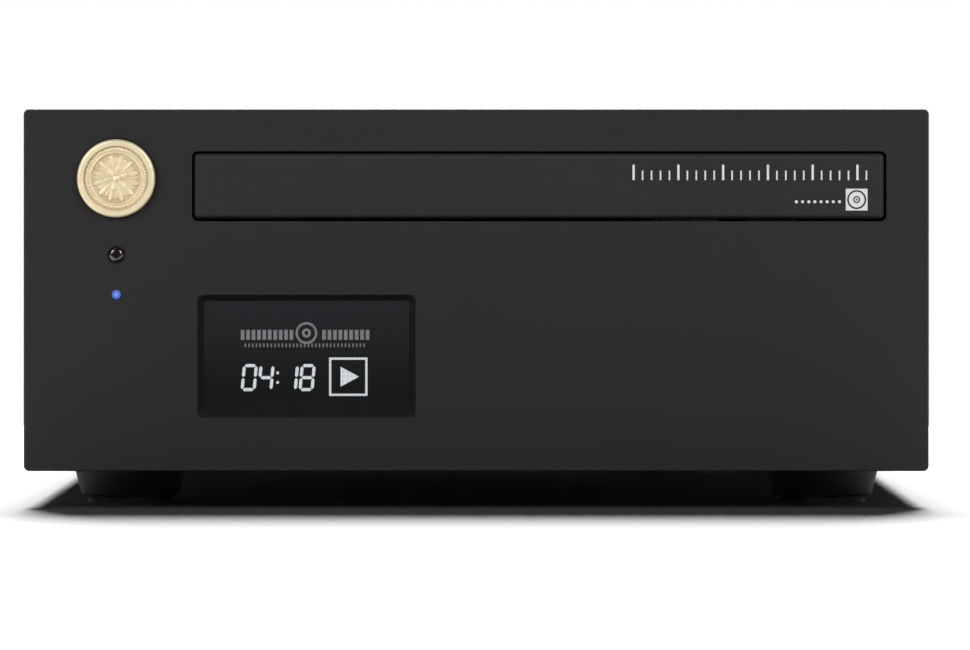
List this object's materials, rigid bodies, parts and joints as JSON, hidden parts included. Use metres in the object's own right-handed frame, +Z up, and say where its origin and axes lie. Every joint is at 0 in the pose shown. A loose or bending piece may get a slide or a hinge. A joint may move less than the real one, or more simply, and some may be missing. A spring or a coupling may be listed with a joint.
{
  "type": "cd player",
  "caption": "Half-width hi-fi disc player with a motor-driven disc drawer, a round push button, a display window and rear audio outputs.",
  "frame": {"origin": "on the surface under the middle of the player's bounding box", "axes": "+Z up; the front panel faces -Y; +X to the right seen from the front"},
  "size_m": [0.2, 0.271, 0.088],
  "materials": {
    "panel_finish": "satin dark grey",
    "cover_finish": "fine-textured black",
    "door_finish": "bead-blasted, anodised dark grey",
    "gold_finish": "satin champagne plate",
    "gold_plate": "polished gold plate",
    "zinc_steel": "zinc plated",
    "screw_steel": "black oxide",
    "spring_steel": "bright",
    "black_plastic": "fine spark texture",
    "gloss_plastic": "polished",
    "grey_plastic": "moulded",
    "white_plastic": "moulded acetal",
    "rubber": "matt",
    "window_glass": "smoked, polished",
    "light_pipe": "frosted",
    "board_green": "solder mask",
    "chip_black": "epoxy",
    "can_sleeve": "shrink sleeve",
    "bare_aluminium": "extruded",
    "coil_tape": "wound polyester tape",
    "flat_cable": "flat conductor"
  },
  "bodies": {
    "chassis": {"front_panel": "panel_finish", "chassis_base": "zinc_steel", "top_cover": "cover_finish", "rear_panel": "cover_finish", "case_screws": "screw_steel", "chassis_screws": "zinc_steel", "feet": "black_plastic", "foot_pads": "rubber", "foot_screws": "zinc_steel", "medallion_bush": "black_plastic", "return_spring": "spring_steel", "tact_switch": "black_plastic", "ir_bezel": "black_plastic", "ir_lens": "gloss_plastic", "led_pipe": "light_pipe", "display_glass": "window_glass", "display_module": "grey_plastic", "display_board": "board_green", "loader_frame": "black_plastic", "tray_motor": "zinc_steel", "drive_belt": "rubber", "clamp_bridge": "zinc_steel", "main_board": "board_green", "capacitors": "can_sleeve", "chips": "chip_black", "heat_sink": "bare_aluminium", "standoffs": "zinc_steel", "transformer": "coil_tape", "transformer_plate": "zinc_steel", "ribbon_cable": "flat_cable", "mains_inlet": "black_plastic", "inlet_pins": "spring_steel", "xlr_sockets": "bare_aluminium", "xlr_pins": "gold_plate", "rca_barrels": "gold_plate", "rca_insulators": "black_plastic", "optical_port": "black_plastic", "connector_screws": "screw_steel"},
    "button": {"medallion": "gold_finish", "retaining_clip": "spring_steel", "switch_plunger": "grey_plastic"},
    "disc_tray": {"tray": "black_plastic", "tray_door": "door_finish"},
    "tray_gear_wheel": {"tray_gear": "white_plastic"},
    "pulley_wheel": {"belt_pulley": "white_plastic"},
    "tray_motor_rotor": {"motor_pulley": "white_plastic"},
    "cam": {"cam_slider": "white_plastic"},
    "deck": {"deck_chassis": "zinc_steel", "spindle_motor": "zinc_steel", "guide_rods": "spring_steel", "sled_motor": "zinc_steel"},
    "spindle": {"turntable": "black_plastic"},
    "clamp": {"clamp_puck": "black_plastic"},
    "sled": {"pickup_sled": "black_plastic"},
    "lens": {"pickup_lens": "grey_plastic"},
    "sled_gear_wheel": {"sled_gear": "white_plastic"},
    "sled_motor_rotor": {"sled_pinion": "white_plastic"},
    "rocker": {"power_rocker": "gloss_plastic"},
    "drawer": {"fuse_drawer": "black_plastic"},
    "flap": {"optical_flap": "grey_plastic"}
  },
  "joints": [
    {"name": "button_press", "type": "slide", "parent": "chassis", "child": "button", "axis": [0, 1, 0], "range_m": [0, 0.0008], "stiffness_N_per_m": 400, "springref_m": -0.002, "deforming": ["return_spring"]},
    {"name": "tray_slide", "type": "slide", "parent": "chassis", "child": "disc_tray", "axis": [0, -1, 0], "range_m": [0, 0.13]},
    {"name": "tray_gear_spin", "type": "hinge", "parent": "chassis", "child": "tray_gear_wheel", "pos_m": [-0.03585, -0.1065, 0.06], "axis": [0, 0, 1], "range_deg": [0, 620.8]},
    {"name": "belt_pulley_spin", "type": "hinge", "parent": "chassis", "child": "pulley_wheel", "pos_m": [-0.0176, -0.1065, 0.056], "axis": [0, 0, 1], "range_deg": [-1241.5, 0]},
    {"name": "tray_motor_spin", "type": "hinge", "parent": "chassis", "child": "tray_motor_rotor", "pos_m": [0.0324, -0.1065, 0.054], "axis": [0, 0, 1], "range_deg": [-5379.5, 0]},
    {"name": "deck_lift", "type": "hinge", "parent": "chassis", "child": "deck", "pos_m": [0.0139, 0.0445, 0.059], "axis": [-1, 0, 0], "range_deg": [0, 5.58]},
    {"name": "cam_slide", "type": "slide", "parent": "chassis", "child": "cam", "axis": [1, 0, 0], "range_m": [0, 0.02402]},
    {"name": "spindle_spin", "type": "hinge", "parent": "deck", "child": "spindle", "pos_m": [0.0139, -0.06425, 0.06144], "axis": [0, -0.0972, 0.9953], "continuous": true},
    {"name": "clamp_spin", "type": "hinge", "parent": "chassis", "child": "clamp", "pos_m": [0.0139, -0.0635, 0.0765], "axis": [0, 0, 1], "continuous": true},
    {"name": "sled_slide", "type": "slide", "parent": "deck", "child": "sled", "axis": [0, 0.9953, 0.0972], "range_m": [0, 0.035]},
    {"name": "sled_gear_spin", "type": "hinge", "parent": "deck", "child": "sled_gear_wheel", "pos_m": [0.04515, -0.01352, 0.05635], "axis": [0, -0.0972, 0.9953], "range_deg": [-250.7, 0]},
    {"name": "sled_motor_spin", "type": "hinge", "parent": "deck", "child": "sled_motor_rotor", "pos_m": [0.04515, -0.00113, 0.05555], "axis": [0, -0.0972, 0.9953], "range_deg": [0, 501.4]},
    {"name": "lens_focus", "type": "slide", "parent": "sled", "child": "lens", "axis": [0, -0.0972, 0.9953], "range_m": [-0.0004, 0.0004], "stiffness_N_per_m": 100},
    {"name": "power_switch", "type": "hinge", "parent": "chassis", "child": "rocker", "pos_m": [-0.0505, 0.126, 0.062], "axis": [-1, 0, 0], "range_deg": [0, 22]},
    {"name": "fuse_drawer_slide", "type": "slide", "parent": "chassis", "child": "drawer", "axis": [0, 1, 0], "range_m": [0, 0.018]},
    {"name": "flap_swing", "type": "hinge", "parent": "chassis", "child": "flap", "pos_m": [0.018, 0.1259, 0.0611], "axis": [-1, 0, 0], "range_deg": [0, 80], "stiffness_Nm_per_rad": 0.0005, "springref_deg": -11.46}
  ],
  "couplings": [
    {"joint": "tray_gear_spin", "follows": "tray_slide", "rad_per_m": 83.333},
    {"joint": "belt_pulley_spin", "follows": "tray_slide", "rad_per_m": -166.67},
    {"joint": "tray_motor_spin", "follows": "tray_slide", "rad_per_m": -722.22},
    {"joint": "cam_slide", "follows": "deck_lift", "m_per_rad": 0.24647},
    {"joint": "clamp_spin", "follows": "spindle_spin", "ratio": 1},
    {"joint": "sled_gear_spin", "follows": "sled_slide", "rad_per_m": -125},
    {"joint": "sled_motor_spin", "follows": "sled_slide", "rad_per_m": 250}
  ]
}
